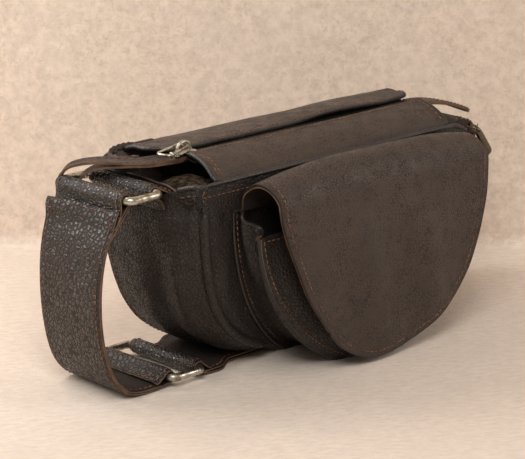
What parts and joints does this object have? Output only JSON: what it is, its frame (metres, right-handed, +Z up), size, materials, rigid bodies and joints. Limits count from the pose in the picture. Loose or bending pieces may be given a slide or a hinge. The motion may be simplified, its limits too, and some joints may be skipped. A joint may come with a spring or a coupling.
{
  "type": "belt bag",
  "caption": "Half-moon leather belt bag with a zip top, a flap pocket on its front and a wide strap on metal rings.",
  "frame": {"origin": "on the floor under the bag, on the strap's underside, midway between the bag's ends and in the middle of the strap's width at the ring", "axes": "+X along the bag towards the end away from the zip slider, +Y towards the plain back, +Z up"},
  "size_m": [0.3453, 0.1296, 0.144],
  "materials": {
    "leather": "matte dark brown pull-up leather",
    "strap_leather": "glossier pebbled dark brown leather",
    "lining": "plain woven lining",
    "zip_tape": "woven tape",
    "nickel": "worn antique nickel"
  },
  "bodies": {
    "bag": {"back_panel": "leather", "front_panel": "leather", "gusset": "leather", "seam_welt_left": "leather", "seam_welt_right": "leather", "top_panel_front": "leather", "top_panel_rear": "leather", "zip_tab_root_left": "leather", "zip_tab_root_right": "leather", "pocket_gusset": "leather", "pocket_front": "leather", "flap_seam_strip": "leather", "bag_loop_left": "strap_leather", "bag_loop_right": "strap_leather", "back_lining": "lining", "front_lining": "lining", "gusset_lining": "lining", "end_lining_left": "lining", "end_lining_right": "lining", "zip_tape_front": "zip_tape", "zip_tape_rear": "zip_tape", "zip_teeth_front": "nickel", "zip_teeth_rear": "nickel", "pocket_magnet": "nickel"},
    "slider": {"zip_slider": "nickel", "zip_slider_base": "nickel", "zip_slider_bridge": "nickel"},
    "puller": {"zip_puller": "nickel"},
    "flap": {"pocket_flap": "leather", "flap_magnet": "nickel"},
    "tab_left": {"zip_tab_loop_left": "leather"},
    "tab_right": {"zip_tab_end_right": "leather"},
    "ring_left": {"ring_left": "nickel"},
    "strap_left": {"strap_left": "strap_leather"},
    "ring_lower": {"ring_lower": "nickel"},
    "strap_under": {"strap_under": "strap_leather"},
    "ring_right": {"ring_right": "nickel"},
    "strap_right": {"strap_right": "strap_leather"}
  },
  "joints": [
    {"name": "zip_run", "type": "slide", "parent": "bag", "child": "slider", "axis": [1, 0, 0], "range_m": [0, 0.186]},
    {"name": "puller_swing", "type": "hinge", "parent": "slider", "child": "puller", "pos_m": [-0.1035, -0.0125, 0.1416], "axis": [-0.2079, 0.9781, 0], "range_deg": [0, 165]},
    {"name": "flap_lift", "type": "hinge", "parent": "bag", "child": "flap", "pos_m": [0, -0.05461, 0.12547], "axis": [-1, 0, 0], "range_deg": [0, 105]},
    {"name": "ring_left_swing", "type": "hinge", "parent": "bag", "child": "ring_left", "pos_m": [-0.14, 0, 0.122], "axis": [0, 1, 0], "range_deg": [0, 60]},
    {"name": "strap_left_swing", "type": "hinge", "parent": "ring_left", "child": "strap_left", "pos_m": [-0.164, 0, 0.122], "axis": [0, 1, 0], "range_deg": [0, 60]},
    {"name": "ring_lower_swing", "type": "hinge", "parent": "strap_left", "child": "ring_lower", "pos_m": [-0.132, 0, 0.0066], "axis": [0, 1, 0], "range_deg": [0, 60]},
    {"name": "strap_under_swing", "type": "hinge", "parent": "ring_lower", "child": "strap_under", "pos_m": [-0.108, 0, 0.0066], "axis": [0, 1, 0], "range_deg": [0, 60]},
    {"name": "tab_left_lift", "type": "hinge", "parent": "bag", "child": "tab_left", "pos_m": [-0.12781, -0.00513, 0.1379], "axis": [0.766, 0.6428, 0], "range_deg": [0, 60]},
    {"name": "ring_right_swing", "type": "hinge", "parent": "bag", "child": "ring_right", "pos_m": [0.14, 0, 0.114], "axis": [0, -1, 0], "range_deg": [0, 50]},
    {"name": "strap_right_swing", "type": "hinge", "parent": "ring_right", "child": "strap_right", "pos_m": [0.15444, 0, 0.09483], "axis": [0, -1, 0], "range_deg": [0, 80]},
    {"name": "tab_right_lift", "type": "hinge", "parent": "bag", "child": "tab_right", "pos_m": [0.1123, -0.0125, 0.1379], "axis": [0, -1, 0], "range_deg": [0, 40]}
  ],
  "couplings": [
    {"joint": "tab_left_lift", "follows": "ring_left_swing", "ratio": 1}
  ]
}
